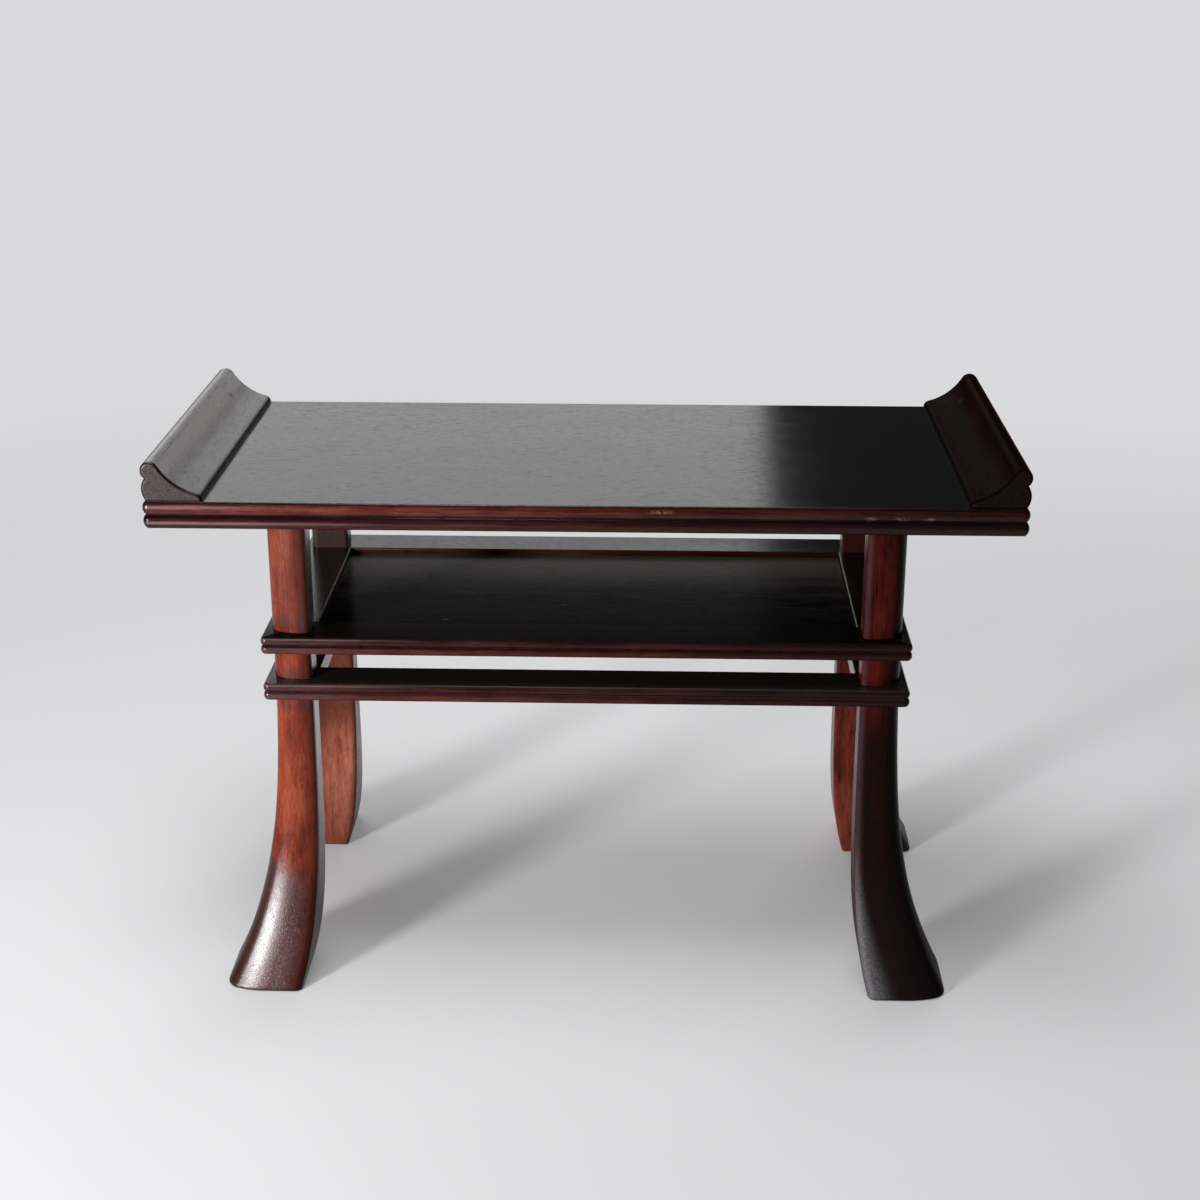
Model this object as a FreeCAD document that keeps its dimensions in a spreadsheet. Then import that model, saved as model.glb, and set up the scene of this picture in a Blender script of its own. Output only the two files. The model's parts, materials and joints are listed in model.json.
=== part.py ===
"""A rosewood display table: a reeded plank with scroll ends, sabre legs, a shelf and a stretcher frame.

The frame is +Z up, with X along the plank, Y from front to back and the origin on the floor under the
plank's centre. Lengths are in millimetres. The pieces of one quarter are drawn at the front right and
mirrored to the other corners.
"""

import FreeCAD, Part
import math
import os

import Sketcher

# Driving dimensions: name, millimetres (plain numbers for the powers, degrees for the arcs), what it is
SIZES = [
    ("board_length", 600.0, "plank along X, over the reeds"),
    ("board_depth", 265.0, "plank along Y, over the reeds"),
    ("board_thickness", 19.0, "plank, both reeds together"),
    ("board_reed", 2.2, "how far a reed of the plank swells out"),
    ("reed_corner", 4.0, "radius in plan on which the reeds turn a corner"),
    ("table_height", 372.0, "top of the plank above the floor"),
    ("scroll_height", 27.5, "scroll end above the plank"),
    ("scroll_width", 41.2, "scroll end, from the plank's end to its toe"),
    ("scroll_setback", 2.4, "end faces of a scroll end behind the plank's long edges"),
    ("scroll_tip", 6.6, "radius of the rolled tip"),
    ("scroll_cove", 42.0, "radius of the hollow between tip and toe"),
    ("scroll_toe", 5.0, "radius of the rounded toe"),
    ("scroll_toe_rise", 0.6, "upright edge at the end of the toe"),
    ("scroll_scallop", 2.6, "depth of the notch between the scroll end's outer scallops"),
    ("scroll_housing", 2.0, "how deep a scroll end is let into the plank"),
    ("dowel_radius", 3.0, "dowel between scroll end and plank"),
    ("dowel_reach", 8.0, "how far a dowel goes into each of the two"),
    ("dowel_inset_x", 17.0, "dowel centres from the plank's end"),
    ("dowel_inset_y", 42.5, "outer dowel centres from the plank's long edges"),
    ("leg_inset_x", 76.4, "straight parts of the legs from the plank's ends"),
    ("leg_inset_y", 29.0, "straight parts of the legs from the plank's long edges"),
    ("leg_width", 28.4, "straight part of a leg along X"),
    ("leg_depth", 22.5, "straight part of a leg along Y"),
    ("leg_front_crown", 40.0, "radius of the straight part's crowned front"),
    ("leg_outer_round", 12.0, "outer corner of the straight part"),
    ("leg_side_crown", 30.0, "radius of the straight part's crowned outer side"),
    ("front_crown_arc", 20.0, "how far the crowned front turns towards the outer corner"),
    ("side_crown_arc", 5.0, "how far the crowned side turns towards the outer corner"),
    ("leg_side_round", 4.0, "the two corners beside the outer one"),
    ("leg_inner_round", 1.5, "inner corner"),
    ("leg_splay", 6.0, "even lean of the outer faces below the frames, at the floor"),
    ("foot_flare_x", 35.4, "how far the outer faces sweep out beyond that along X at the floor"),
    ("foot_flare_y", 38.2, "how far the outer faces sweep out beyond that along Y at the floor"),
    ("foot_flare_power", 3.2, "how late the outer faces sweep out"),
    ("heel_flare_x", 12.0, "how far the inner faces have run out along X at the floor"),
    ("heel_flare_y", 4.0, "how far the inner faces have run out along Y at the floor"),
    ("heel_flare_power", 5.5, "how late the inner faces run out"),
    ("foot_front_crown", 62.0, "radius of the foot's crowned front"),
    ("foot_outer_round", 12.5, "outer corner of the foot"),
    ("foot_side_crown", 32.0, "radius of the foot's crowned outer side"),
    ("foot_side_round", 7.0, "the two corners beside the outer one"),
    ("foot_inner_round", 3.0, "inner corner of the foot"),
    ("foot_edge_round", 1.8, "rounding under the foot's edge"),
    ("leg_tenon_width", 16.0, "tenon on top of a leg along X"),
    ("leg_tenon_depth", 13.0, "tenon on top of a leg along Y"),
    ("leg_tenon_length", 11.0, "tenon on top of a leg"),
    ("wedge_length", 8.0, "wedge in a leg's tenon"),
    ("wedge_top", 1.8, "thickness of a wedge at its top"),
    ("wedge_tip", 0.6, "thickness of a wedge at its tip"),
    ("wedge_spacing", 8.0, "distance between the two wedges of a tenon"),
    ("frame_overhang_x", 5.4, "frames outside the legs along X, over the reeds"),
    ("frame_overhang_y", 10.5, "frames outside the legs along Y, over the reeds"),
    ("frame_thickness", 12.4, "frames, both reeds together"),
    ("frame_reed", 1.5, "how far a reed of a frame swells out"),
    ("shelf_height", 266.5, "top of the shelf's frame above the floor"),
    ("frame_gap", 22.8, "between the two frames"),
    ("rail_ledge", 2.5, "side rails inside the legs' inner faces"),
    ("rail_tenon_width", 8.0, "stub tenon of a rail across the rail"),
    ("rail_tenon_height", 6.0, "stub tenon of a rail"),
    ("side_tenon_length", 9.0, "stub tenon of a side rail"),
    ("tenon_web", 1.0, "wood between the two mortises of a corner"),
    ("panel_recess", 4.5, "panel below the top of its frame"),
    ("panel_thickness", 5.6, "panel"),
    ("tongue_thickness", 2.6, "tongue round the panel"),
    ("tongue_margin", 0.5, "tongue short of the legs"),
    ("panel_gap", 0.3, "gap round the panel and in its groove"),
    ("joint_clearance", 0.1, "mortise or hole beyond its tenon or dowel, each side"),
    ("joint_bottom", 0.5, "space past the end of a tenon or dowel"),
]

# Sections that the sabre curve of a leg is lofted through, and how they crowd towards the floor
LEG_STATIONS = 9
STATION_CROWDING = 1.4

os.makedirs("parts", exist_ok=True)
doc = FreeCAD.newDocument("display_table")
sheet = doc.addObject("Spreadsheet::Sheet", "Sizes")
for row, (alias, number, meaning) in enumerate(SIZES, start=1):
    sheet.set(f"A{row}", str(number))
    sheet.set(f"B{row}", meaning)
    sheet.setAlias(f"A{row}", alias)
doc.recompute()

# Places that follow from the driving dimensions, as expressions
BOARD_END = "(Sizes.board_length / 2)"
BOARD_EDGE = "(Sizes.board_depth / 2)"
BOARD_TOP = "Sizes.table_height"
BOARD_BOTTOM = "(Sizes.table_height - Sizes.board_thickness)"
HOUSING_FLOOR = "(Sizes.table_height - Sizes.scroll_housing)"
LEG_OUT_X = f"({BOARD_END} - Sizes.leg_inset_x)"
LEG_OUT_Y = f"({BOARD_EDGE} - Sizes.leg_inset_y)"
LEG_IN_X = f"({LEG_OUT_X} - Sizes.leg_width)"
LEG_IN_Y = f"({LEG_OUT_Y} - Sizes.leg_depth)"
LEG_MID_X = f"({LEG_OUT_X} - Sizes.leg_width / 2)"
LEG_MID_Y = f"({LEG_OUT_Y} - Sizes.leg_depth / 2)"
FRAME_X = f"({LEG_OUT_X} + Sizes.frame_overhang_x)"
FRAME_Y = f"({LEG_OUT_Y} + Sizes.frame_overhang_y)"
MITRE_X = f"({FRAME_X} - {FRAME_Y} + {LEG_MID_Y})"
OPENING_X = f"({LEG_IN_X} - Sizes.rail_ledge)"
OPENING_Y = LEG_IN_Y
SHELF_BOTTOM = "(Sizes.shelf_height - Sizes.frame_thickness)"
LOWER_TOP = f"({SHELF_BOTTOM} - Sizes.frame_gap)"
LOWER_BOTTOM = f"({LOWER_TOP} - Sizes.frame_thickness)"
FRONT_TENON_LENGTH = "((Sizes.leg_width - Sizes.rail_tenon_width) / 2 - Sizes.tenon_web)"
TONGUE = "(Sizes.rail_ledge - Sizes.tongue_margin)"
PANEL_TOP = "(Sizes.shelf_height - Sizes.panel_recess)"
TONGUE_BOTTOM = f"({PANEL_TOP} - (Sizes.panel_thickness + Sizes.tongue_thickness) / 2)"


def size(expression):
    """The number that an expression comes to."""
    return float(sheet.evalExpression(str(expression)))


def at(obj, x="0", y="0", z="0"):
    """Ties an object's place to expressions."""
    for axis, expression in zip("xyz", (x, y, z)):
        obj.setExpression(f"Placement.Base.{axis}", expression)


def box(name, x, y, z):
    """A box that runs between two expressions along each axis."""
    made = doc.addObject("Part::Box", name)
    for prop, (low, high) in zip(("Length", "Width", "Height"), (x, y, z)):
        made.setExpression(prop, f"({high}) - ({low})")
    at(made, x[0], y[0], z[0])
    return made


def upright_cylinder(name, x, y, z, radius):
    """A cylinder along Z between two heights."""
    made = doc.addObject("Part::Cylinder", name)
    made.setExpression("Radius", radius)
    made.setExpression("Height", f"({z[1]}) - ({z[0]})")
    at(made, x, y, z[0])
    return made


def joined(kind, name, base, tool):
    """A boolean of two objects: Part::Cut, Part::Fuse or Part::Common."""
    made = doc.addObject(kind, name)
    made.Base = base
    made.Tool = tool
    return made


def group(name, members):
    """Several separate solids as one object."""
    made = doc.addObject("Part::Compound", name)
    made.Links = members
    return made


def mirrored(name, source, normal):
    """A mirror image through the origin."""
    made = doc.addObject("Part::Mirroring", name)
    made.Source = source
    made.Normal = FreeCAD.Vector(*normal)
    return made


def sketch_on(body, name, role):
    """An empty sketch on one of the body's own origin planes."""
    made = body.newObject("Sketcher::SketchObject", name)
    plane = next(item for item in body.Origin.OriginFeatures if item.Role == role)
    made.AttachmentSupport = [(plane, "")]
    made.MapMode = "FlatFace"
    return made


def tie(sketch, name, expression, kind, *where):
    """Adds a dimension to a sketch and ties it to an expression."""
    index = sketch.addConstraint(Sketcher.Constraint(kind, *where, size(expression)))
    sketch.renameConstraint(index, name)
    sketch.setExpression(f"Constraints.{name}", expression)


def arc_between(start, end, radius):
    """The arc from start to end that swells to the right of that direction, under half a turn."""
    chord = end - start
    half = chord.Length / 2
    left = FreeCAD.Vector(-chord.y, chord.x, 0).normalize()
    middle = (start + end) / 2
    rise = radius - math.sqrt(max(radius**2 - half**2, 0.0))
    return Part.Arc(start, middle - left * rise, end)


def draw_outline(sketch, outline):
    """Draws a closed outline, counter-clockwise. Each entry is a corner (x, y) and the radius of the arc
    that leaves it, or None for a straight line. Every corner and radius is tied to its expression."""
    corners = [FreeCAD.Vector(size(x), size(y), 0) for x, y, radius in outline]
    count = len(outline)
    for index, (x, y, radius) in enumerate(outline):
        start, end = corners[index], corners[(index + 1) % count]
        if radius is None:
            edge = Part.LineSegment(start, end)
        else:
            edge = arc_between(start, end, size(radius))
        sketch.addGeometry(edge, False)
    for index, (x, y, radius) in enumerate(outline):
        sketch.addConstraint(Sketcher.Constraint("Coincident", index, 2, (index + 1) % count, 1))
    for index, (x, y, radius) in enumerate(outline):
        tie(sketch, f"x{index}", x, "DistanceX", -1, 1, index, 1)
        tie(sketch, f"y{index}", y, "DistanceY", -1, 1, index, 1)
        if radius is not None:
            tie(sketch, f"radius{index}", radius, "Radius", index)


def prism(name, outline, length, role="XY_Plane", midplane=False):
    """A body padded from an outline."""
    body = doc.addObject("PartDesign::Body", name)
    sketch = sketch_on(body, f"{name}_outline", role)
    draw_outline(sketch, outline)
    pad = body.newObject("PartDesign::Pad", f"{name}_pad")
    pad.Profile = sketch
    pad.SideType = "Symmetric" if midplane else "One side"
    pad.setExpression("Length", length)
    return body


def reeds(reach, bottom, top, reed):
    """The right edge of a slab, worked into two reeds from the bottom up."""
    middle = f"(({top}) + ({bottom})) / 2"
    flat = f"(({reach}) - {reed})"
    radius = f"((({top}) - ({bottom})) ^ 2 / (32 * {reed}) + {reed} / 2)"
    return [(flat, bottom, radius), (flat, middle, radius), (flat, top, None)]


def reeded_section(half, bottom, top, reed):
    """Section of a slab with both edges reeded."""
    lower, middle, upper = reeds(half, bottom, top, reed)
    return [
        lower,
        middle,
        upper,
        (f"-1 * {upper[0]}", top, lower[2]),
        (f"-1 * {middle[0]}", middle[1], lower[2]),
        (f"-1 * {lower[0]}", bottom, None),
    ]


def reeded_disc(name, x, y, bottom, top, reed):
    """The round corner of a reeded slab, as a whole disc."""
    body = doc.addObject("PartDesign::Body", name)
    sketch = sketch_on(body, f"{name}_outline", "XZ_Plane")
    edge = reeds("Sizes.reed_corner", bottom, top, reed)
    draw_outline(sketch, [("0", bottom, None), *edge, ("0", top, None)])
    turned = body.newObject("PartDesign::Revolution", f"{name}_turned")
    turned.Profile = sketch
    turned.ReferenceAxis = (sketch, ["V_Axis"])
    at(body, x, y)
    return body


def reeded_slab(name, half_x, half_y, bottom, top, reed):
    """A slab with reeded edges that turn the corners: two crossing prisms and a disc at each corner."""
    inset_x, inset_y = f"({half_x} - Sizes.reed_corner)", f"({half_y} - Sizes.reed_corner)"
    along_x = reeded_section(half_y, bottom, top, reed)
    along_y = reeded_section(half_x, bottom, top, reed)
    shapes = [
        prism(f"{name}_long", along_x, f"2 * {inset_x}", "YZ_Plane", midplane=True),
        prism(f"{name}_cross", along_y, f"2 * {inset_y}", "XZ_Plane", midplane=True),
    ]
    for number, (side_x, side_y) in enumerate(((1, 1), (1, -1), (-1, 1), (-1, -1)), start=1):
        place = (f"{side_x} * {inset_x}", f"{side_y} * {inset_y}")
        shapes.append(reeded_disc(f"{name}_corner_{number}", *place, bottom, top, reed))
    slab = doc.addObject("Part::MultiFuse", f"{name}_slab")
    slab.Shapes = shapes
    slab.Refine = True
    return slab


def tenon_sides(middle, width, clearance="0"):
    """The two sides of a tenon, or of its mortise, about its middle."""
    reach = f"({width} / 2 + {clearance})"
    return (f"{middle} - {reach}", f"{middle} + {reach}")


def rail_tenon_heights(frame_bottom, clearance="0"):
    """Bottom and top of a rail's tenons, in the middle of the frame's thickness."""
    return tenon_sides(f"({frame_bottom} + Sizes.frame_thickness / 2)", "Sizes.rail_tenon_height", clearance)


def scroll_outline(sketch):
    """The scroll end's section, in X and Z: rolled tip, hollow, rounded toe and two outer scallops."""
    tip, cove, toe = size("Sizes.scroll_tip"), size("Sizes.scroll_cove"), size("Sizes.scroll_toe")
    outer = f"({BOARD_END} - Sizes.scroll_scallop)"
    toe_x = f"({BOARD_END} - Sizes.scroll_width)"
    scroll_top = f"{BOARD_TOP} + Sizes.scroll_height"
    tip_centre = (f"({BOARD_END} - Sizes.scroll_tip)", f"({scroll_top} - Sizes.scroll_tip)")
    toe_centre = (f"({toe_x} + Sizes.scroll_toe)", f"({BOARD_TOP} + Sizes.scroll_toe_rise)")
    notch_drop = "sqrt(Sizes.scroll_tip ^ 2 - (Sizes.scroll_tip - Sizes.scroll_scallop) ^ 2)"
    notch_z = f"({tip_centre[1]} - {notch_drop})"
    scallop = f"((({notch_z}) - ({BOARD_TOP})) ^ 2 / (8 * Sizes.scroll_scallop) + Sizes.scroll_scallop / 2)"

    def point(x, z):
        return FreeCAD.Vector(size(x), size(z), 0)

    tip_at, toe_at = point(*tip_centre), point(*toe_centre)
    # The hollow touches both rounds, so its centre is a known distance from each of theirs
    between = toe_at - tip_at
    along = (between.Length**2 + (cove + tip) ** 2 - (cove + toe) ** 2) / (2 * between.Length)
    away = math.sqrt((cove + tip) ** 2 - along**2)
    direction = FreeCAD.Vector(between).normalize()
    cove_at = tip_at + direction * along + FreeCAD.Vector(direction.y, -direction.x, 0) * away
    tip_touch = tip_at + (cove_at - tip_at).normalize() * tip
    toe_touch = toe_at + (cove_at - toe_at).normalize() * toe
    cove_bottom = cove_at + ((tip_touch + toe_touch) / 2 - cove_at).normalize() * cove
    tip_top = tip_at + FreeCAD.Vector(0, tip, 0)
    toe_middle = toe_at + FreeCAD.Vector(-1, 1, 0).normalize() * toe
    base_outer, base_inner = point(outer, HOUSING_FLOOR), point(toe_x, HOUSING_FLOOR)
    foot_outer, notch = point(outer, BOARD_TOP), point(outer, notch_z)
    toe_end = point(toe_x, toe_centre[1])
    for edge in (
        Part.LineSegment(base_inner, base_outer),
        Part.LineSegment(base_outer, foot_outer),
        arc_between(foot_outer, notch, size(scallop)),
        Part.Arc(notch, tip_top, tip_touch),
        Part.Arc(tip_touch, cove_bottom, toe_touch),
        Part.Arc(toe_touch, toe_middle, toe_end),
        Part.LineSegment(toe_end, base_inner),
    ):
        sketch.addGeometry(edge, False)
    base, outer_side, scallop_arc, tip_arc, cove_arc, toe_arc, inner_side = range(7)
    # An arc's start is its clockwise end, so the hollow's two ends are the other way round
    sketch.addConstraint(
        [
            Sketcher.Constraint("Coincident", base, 2, outer_side, 1),
            Sketcher.Constraint("Coincident", outer_side, 2, scallop_arc, 1),
            Sketcher.Constraint("Coincident", scallop_arc, 2, tip_arc, 1),
            Sketcher.Constraint("Tangent", tip_arc, 2, cove_arc, 2),
            Sketcher.Constraint("Tangent", cove_arc, 1, toe_arc, 1),
            Sketcher.Constraint("Coincident", toe_arc, 2, inner_side, 1),
            Sketcher.Constraint("Coincident", inner_side, 2, base, 1),
        ]
    )
    for name, geometry, place, (x, z) in (
        ("base_inner", base, 1, (toe_x, HOUSING_FLOOR)),
        ("base_outer", base, 2, (outer, HOUSING_FLOOR)),
        ("foot_outer", outer_side, 2, (outer, BOARD_TOP)),
        ("notch", scallop_arc, 2, (outer, notch_z)),
        ("tip_centre", tip_arc, 3, tip_centre),
        ("toe_end", toe_arc, 2, (toe_x, toe_centre[1])),
    ):
        tie(sketch, f"{name}_x", x, "DistanceX", -1, 1, geometry, place)
        tie(sketch, f"{name}_z", z, "DistanceY", -1, 1, geometry, place)
    tie(sketch, "scallop_radius", scallop, "Radius", scallop_arc)
    tie(sketch, "cove_radius", "Sizes.scroll_cove", "Radius", cove_arc)
    tie(sketch, "toe_radius", "Sizes.scroll_toe", "Radius", toe_arc)
    tie(sketch, "toe_centre_z", toe_centre[1], "DistanceY", -1, 1, toe_arc, 3)


def make_dowels():
    """Three upright dowels under the right scroll end, and the holes that take them."""
    x = f"({BOARD_END} - Sizes.dowel_inset_x)"
    low, high = f"{HOUSING_FLOOR} - Sizes.dowel_reach", f"{HOUSING_FLOOR} + Sizes.dowel_reach"
    pins, holes = [], []
    for number, step in enumerate((-1, 0, 1), start=1):
        y = f"{step} * ({BOARD_EDGE} - Sizes.dowel_inset_y)"
        pins.append(upright_cylinder(f"dowel_{number}", x, y, (low, high), "Sizes.dowel_radius"))
        hole_z = (f"{low} - Sizes.joint_bottom", f"{high} + Sizes.joint_bottom")
        hole_radius = "Sizes.dowel_radius + Sizes.joint_clearance"
        holes.append(upright_cylinder(f"dowel_hole_{number}", x, y, hole_z, hole_radius))
    return group("right_scroll_dowels", pins), group("right_dowel_holes", holes)


def make_scroll_end(dowel_holes):
    """The right scroll end, and the housing that it is let into."""
    body = doc.addObject("PartDesign::Body", "scroll_blank")
    sketch = sketch_on(body, "scroll_section", "XZ_Plane")
    scroll_outline(sketch)
    pad = body.newObject("PartDesign::Pad", "scroll_pad")
    pad.Profile = sketch
    pad.SideType = "Symmetric"
    pad.setExpression("Length", "Sizes.board_depth - 2 * Sizes.scroll_setback")
    half = f"({BOARD_EDGE} - Sizes.scroll_setback)"
    housing = box(
        "right_housing",
        (f"{BOARD_END} - Sizes.scroll_width", f"{BOARD_END} - Sizes.scroll_scallop"),
        (f"-1 * {half}", half),
        (HOUSING_FLOOR, f"{BOARD_TOP} + Sizes.scroll_height"),
    )
    return joined("Part::Cut", "right_scroll_end", body, dowel_holes), housing


def leg_section(station):
    """A leg's section at a share of the way down from the lower frame to the floor."""
    run_out = f"{station} ^ Sizes.foot_flare_power"
    heel = f"{station} ^ Sizes.heel_flare_power"
    splay = f"Sizes.leg_splay * {station}"

    def rounding(which):
        grown = f"(Sizes.foot_{which} - Sizes.leg_{which})"
        return f"(Sizes.leg_{which} + {grown} * {run_out})"

    outer, side, inner = rounding("outer_round"), rounding("side_round"), rounding("inner_round")
    front_crown, side_crown = rounding("front_crown"), rounding("side_crown")
    right = f"({LEG_OUT_X} + {splay} + Sizes.foot_flare_x * {run_out})"
    left = f"({LEG_IN_X} + Sizes.heel_flare_x * {heel})"
    front = f"-1 * ({LEG_OUT_Y} + {splay} + Sizes.foot_flare_y * {run_out})"
    back = f"-1 * ({LEG_IN_Y} + Sizes.heel_flare_y * {heel})"
    # The crowned front, the outer corner and the crowned side are three arcs that run into each other
    front_turn, side_turn = "Sizes.front_crown_arc * 1 deg", "Sizes.side_crown_arc * 1 deg"
    side_rise = f"{side_crown} * (1 - cos({side_turn}))"
    corner_run = f"{outer} * (cos({side_turn}) - sin({front_turn}))"
    front_run = f"{front_crown} * sin({front_turn})"
    front_rise = f"{front_crown} * (1 - cos({front_turn}))"
    corner_rise = f"{outer} * (cos({front_turn}) - sin({side_turn}))"
    side_run = f"{side_crown} * sin({side_turn})"
    return [
        (f"{left} + {side}", front, None),
        (f"{right} - {side_rise} - {corner_run} - {front_run}", front, front_crown),
        (f"{right} - {side_rise} - {corner_run}", f"{front} + {front_rise}", outer),
        (f"{right} - {side_rise}", f"{front} + {front_rise} + {corner_rise}", side_crown),
        (right, f"{front} + {front_rise} + {corner_rise} + {side_run}", None),
        (right, f"{back} - {side}", side),
        (f"{right} - {side}", back, None),
        (f"{left} + {inner}", back, inner),
        (left, f"{back} - {inner}", None),
        (left, f"{front} + {side}", side),
    ]


def make_leg_blank():
    """The front right leg without its mortises: a straight part, the sabre curve and a tenon on top."""
    body = doc.addObject("PartDesign::Body", "leg_blank")
    sections = []
    for number in range(LEG_STATIONS):
        height_share = (number / (LEG_STATIONS - 1)) ** STATION_CROWDING
        sketch = sketch_on(body, f"leg_section_{number}", "XY_Plane")
        sketch.setExpression("AttachmentOffset.Base.z", f"{height_share} * {LOWER_BOTTOM}")
        draw_outline(sketch, leg_section(f"{1 - height_share}"))
        sections.append(sketch)
    curve = body.newObject("PartDesign::AdditiveLoft", "leg_curve")
    curve.Profile = sections[0]
    curve.Sections = sections[1:]
    straight = body.newObject("PartDesign::Pad", "leg_straight")
    straight.Profile = sections[-1]
    straight.setExpression("Length", f"{BOARD_BOTTOM} - {LOWER_BOTTOM}")
    doc.recompute()
    under = [
        f"Edge{number}"
        for number, edge in enumerate(straight.Shape.Edges, start=1)
        if edge.BoundBox.ZMax < size("Sizes.foot_edge_round") / 2
    ]
    rounded = body.newObject("PartDesign::Fillet", "foot_rounding")
    rounded.Base = (straight, under)
    rounded.setExpression("Radius", "Sizes.foot_edge_round")
    return body


def leg_tenon(name, clearance="0", past_end="0"):
    """The tenon on top of the front right leg, or the mortise that takes it."""
    low, high = tenon_sides(LEG_MID_Y, "Sizes.leg_tenon_depth", clearance)
    return box(
        name,
        tenon_sides(LEG_MID_X, "Sizes.leg_tenon_width", clearance),
        (f"-1 * ({high})", f"-1 * ({low})"),
        (BOARD_BOTTOM, f"{BOARD_BOTTOM} + Sizes.leg_tenon_length + {past_end}"),
    )


def make_wedges():
    """The two wedges in the saw cuts of the front right leg's tenon, thick end up."""
    top = f"({BOARD_BOTTOM} + Sizes.leg_tenon_length)"
    wedges = []
    for number, side in enumerate((-1, 1), start=1):
        middle = f"({LEG_MID_X} + {side} * Sizes.wedge_spacing / 2)"
        outline = [
            (f"{middle} - Sizes.wedge_tip / 2", f"{top} - Sizes.wedge_length", None),
            (f"{middle} + Sizes.wedge_tip / 2", f"{top} - Sizes.wedge_length", None),
            (f"{middle} + Sizes.wedge_top / 2", top, None),
            (f"{middle} - Sizes.wedge_top / 2", top, None),
        ]
        wedge = prism(f"wedge_{number}", outline, "Sizes.leg_tenon_depth", "XZ_Plane", midplane=True)
        at(wedge, y=f"-1 * {LEG_MID_Y}")
        wedges.append(wedge)
    return group("front_right_leg_wedges", wedges)


def front_tenons(name, frame_bottom, clearance="0", past_end="0"):
    """A bar along X whose two ends are the stub tenons of a front rail, or the mortises for them."""
    reach = f"({LEG_IN_X} + {FRONT_TENON_LENGTH} + {past_end})"
    low, high = tenon_sides(LEG_MID_Y, "Sizes.rail_tenon_width", clearance)
    return box(
        name,
        (f"-1 * {reach}", reach),
        (f"-1 * ({high})", f"-1 * ({low})"),
        rail_tenon_heights(frame_bottom, clearance),
    )


def side_tenons(name, frame_bottom, clearance="0", past_end="0"):
    """A bar along Y whose two ends are the stub tenons of a right rail, or the mortises for them."""
    reach = f"({LEG_IN_Y} + Sizes.side_tenon_length + {past_end})"
    return box(
        name,
        tenon_sides(LEG_MID_X, "Sizes.rail_tenon_width", clearance),
        (f"-1 * {reach}", reach),
        rail_tenon_heights(frame_bottom, clearance),
    )


def make_leg(wedges):
    """The front right leg with its tenon, the saw cuts for the wedges and the rails' mortises."""
    whole = joined("Part::Fuse", "leg_with_tenon", make_leg_blank(), leg_tenon("leg_tenon"))
    cuts = [wedges]
    for level, bottom in (("shelf", SHELF_BOTTOM), ("lower", LOWER_BOTTOM)):
        fit = (bottom, "Sizes.joint_clearance", "Sizes.joint_bottom")
        cuts.append(front_tenons(f"{level}_front_mortises", *fit))
        cuts.append(side_tenons(f"{level}_side_mortises", *fit))
    return joined("Part::Cut", "front_right_leg", whole, group("leg_cuts", cuts))


def make_leg_slots():
    """Where the straight parts of the four legs pass through the frames."""
    slot = prism("leg_slot", leg_section("0"), BOARD_BOTTOM)
    left = mirrored("leg_slot_left", slot, (1, 0, 0))
    behind = [mirrored(f"{item.Name}_behind", item, (0, 1, 0)) for item in (slot, left)]
    return group("leg_slots", [slot, left, *behind])


def front_rail_plan():
    """Plan of a front rail: mitred to the legs' outer corners, and square against their inner faces."""
    right = [
        (FRAME_X, f"-1 * {FRAME_Y}"),
        (MITRE_X, f"-1 * {LEG_MID_Y}"),
        (LEG_IN_X, f"-1 * {LEG_MID_Y}"),
        (LEG_IN_X, f"-1 * {OPENING_Y}"),
    ]
    left = [(f"-1 * {x}", y) for x, y in reversed(right)]
    return [(x, y, None) for x, y in right + left]


def side_rail_plan():
    """Plan of a right rail: between the front and rear rails, with its lip mitred outside the legs."""
    rear = [
        (FRAME_X, FRAME_Y),
        (MITRE_X, LEG_MID_Y),
        (MITRE_X, OPENING_Y),
        (OPENING_X, OPENING_Y),
    ]
    front = [(x, f"-1 * {y}") for x, y in reversed(rear)]
    return [(x, y, None) for x, y in rear + front]


def make_rail(name, slab, plan, leg_slots, tenons, groove=None):
    """One rail of a frame: its share of the reeded slab, cut round the legs, with tenons and a groove."""
    share = joined("Part::Common", f"{name}_share", slab, prism(f"{name}_plan", plan, BOARD_BOTTOM))
    notched = joined("Part::Cut", f"{name}_notched", share, leg_slots)
    if groove is None:
        return joined("Part::Fuse", name, notched, tenons)
    whole = joined("Part::Fuse", f"{name}_whole", notched, tenons)
    return joined("Part::Cut", name, whole, groove)


def make_frame(level, bottom, top, leg_slots, groove=None):
    """The four rails of a frame."""
    slab = reeded_slab(f"{level}_frame", FRAME_X, FRAME_Y, bottom, top, "Sizes.frame_reed")
    front_bar = front_tenons(f"{level}_front_tenons", bottom)
    side_bar = side_tenons(f"{level}_side_tenons", bottom)
    front = make_rail(f"{level}_front_rail", slab, front_rail_plan(), leg_slots, front_bar, groove)
    right = make_rail(f"{level}_right_rail", slab, side_rail_plan(), leg_slots, side_bar, groove)
    rear = mirrored(f"{level}_rear_rail", front, (0, 1, 0))
    left = mirrored(f"{level}_left_rail", right, (1, 0, 0))
    return [front, rear, left, right]


def panel_tongue(name, gap="0"):
    """The slab that the panel's tongue is the rim of, or with a gap the groove that takes it."""
    reach_x, reach_y = f"({OPENING_X} + {TONGUE} + {gap})", f"({OPENING_Y} + {TONGUE} + {gap})"
    heights = (f"{TONGUE_BOTTOM} - {gap} / 2", f"{TONGUE_BOTTOM} + Sizes.tongue_thickness + {gap} / 2")
    return box(name, (f"-1 * {reach_x}", reach_x), (f"-1 * {reach_y}", reach_y), heights)


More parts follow.
